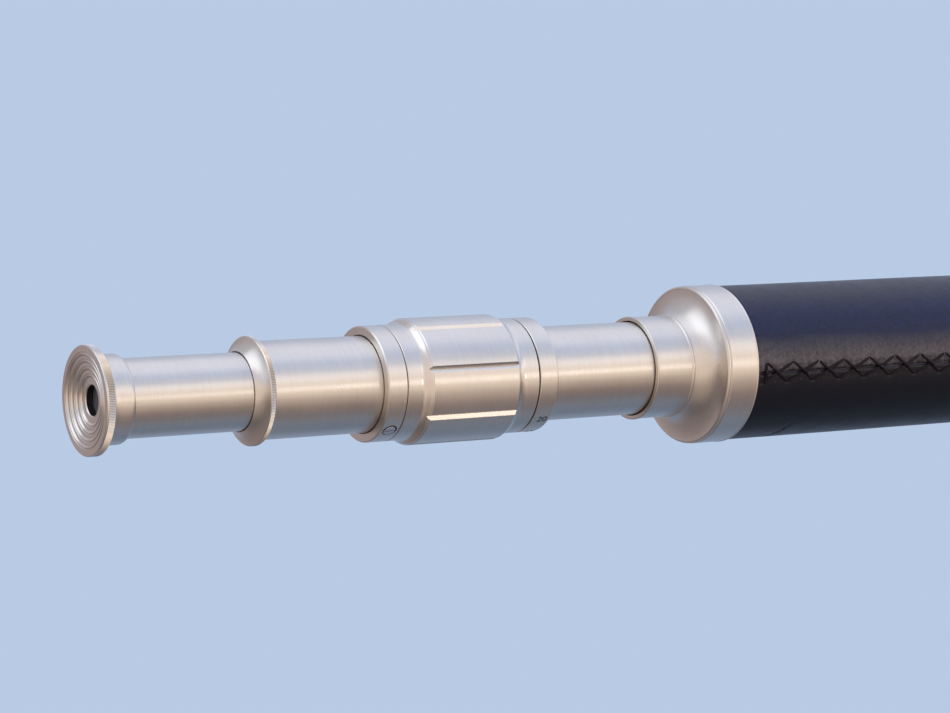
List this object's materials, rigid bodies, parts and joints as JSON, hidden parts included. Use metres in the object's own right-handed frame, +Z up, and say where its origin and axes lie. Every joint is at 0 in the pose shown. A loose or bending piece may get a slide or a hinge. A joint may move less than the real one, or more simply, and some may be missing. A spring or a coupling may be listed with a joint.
{
  "type": "draw telescope",
  "caption": "Stand-mounted draw telescope in satin plated brass with a leather-covered barrel, sliding draws, a fluted zoom grip, a dew shield and a saddle with a tripod socket.",
  "frame": {"origin": "centre of the tripod socket, in the plane of the saddle foot", "axes": "+X along the optical axis from the eyepiece towards the objective, +Z up; the optical axis lies 56 mm above the origin"},
  "size_m": [1.0022, 0.102, 0.0946],
  "materials": {
    "satin_metal": "satin nickel-coloured, brushed on the lathe",
    "leather": "smooth black hide, dull shine",
    "thread": "waxed thread",
    "screw_metal": "satin, slotted",
    "blackened": "matt optical black",
    "bare_brass": "turned, unplated",
    "lens_glass": "polished"
  },
  "bodies": {
    "barrel": {"rear_ferrule": "satin_metal", "draw_guide_tube": "bare_brass", "barrel_tube": "bare_brass", "leather_wrap": "leather", "seam_thread": "thread", "rear_baffle": "blackened", "front_baffle": "blackened", "front_ferrule": "satin_metal", "objective_cell": "blackened", "flint_lens": "lens_glass", "lens_spacer": "blackened", "crown_lens": "lens_glass", "objective_retaining_ring": "blackened", "saddle": "satin_metal", "saddle_strap": "satin_metal", "saddle_screws": "screw_metal"},
    "main_draw": {"draw_tube_bezel": "satin_metal", "eyepiece_guide_bush": "bare_brass", "main_draw_tube": "satin_metal", "front_collar": "satin_metal", "collar_lock_screw": "screw_metal", "scale_ring": "satin_metal", "main_draw_stop_ring": "bare_brass", "main_draw_diaphragm": "blackened"},
    "grip": {"grip_ring": "satin_metal", "cam_sleeve": "bare_brass"},
    "zoom_carriage": {"erector_carrier": "blackened", "follower_pin": "bare_brass", "erector_rear_lens": "lens_glass", "erector_front_lens": "lens_glass", "erector_lens_rings": "blackened", "erector_stop": "blackened"},
    "eyepiece_draw": {"eyecup": "satin_metal", "eyepiece_draw_tube": "satin_metal", "eyepiece_stop_ring": "bare_brass", "eyepiece_cell": "blackened", "eye_lens": "lens_glass", "field_stop": "blackened", "field_lens": "lens_glass", "field_lens_ring": "blackened"},
    "dew_shade": {"dew_shield": "satin_metal"}
  },
  "joints": [
    {"name": "main_draw_slide", "type": "slide", "parent": "barrel", "child": "main_draw", "axis": [-1, 0, 0], "range_m": [-0.054, 0.042]},
    {"name": "grip_turn", "type": "hinge", "parent": "main_draw", "child": "grip", "pos_m": [-0.377, 0, 0.056], "axis": [1, 0, 0], "range_deg": [-75, 75]},
    {"name": "zoom_slide", "type": "slide", "parent": "main_draw", "child": "zoom_carriage", "axis": [1, 0, 0], "range_m": [-0.01005, 0.01005]},
    {"name": "eyepiece_slide", "type": "slide", "parent": "main_draw", "child": "eyepiece_draw", "axis": [-1, 0, 0], "range_m": [-0.052, 0.0215]},
    {"name": "dew_shield_slide", "type": "slide", "parent": "barrel", "child": "dew_shade", "axis": [1, 0, 0], "range_m": [0, 0.036]}
  ],
  "couplings": [
    {"joint": "zoom_slide", "follows": "grip_turn", "m_per_rad": 0.0076394}
  ]
}
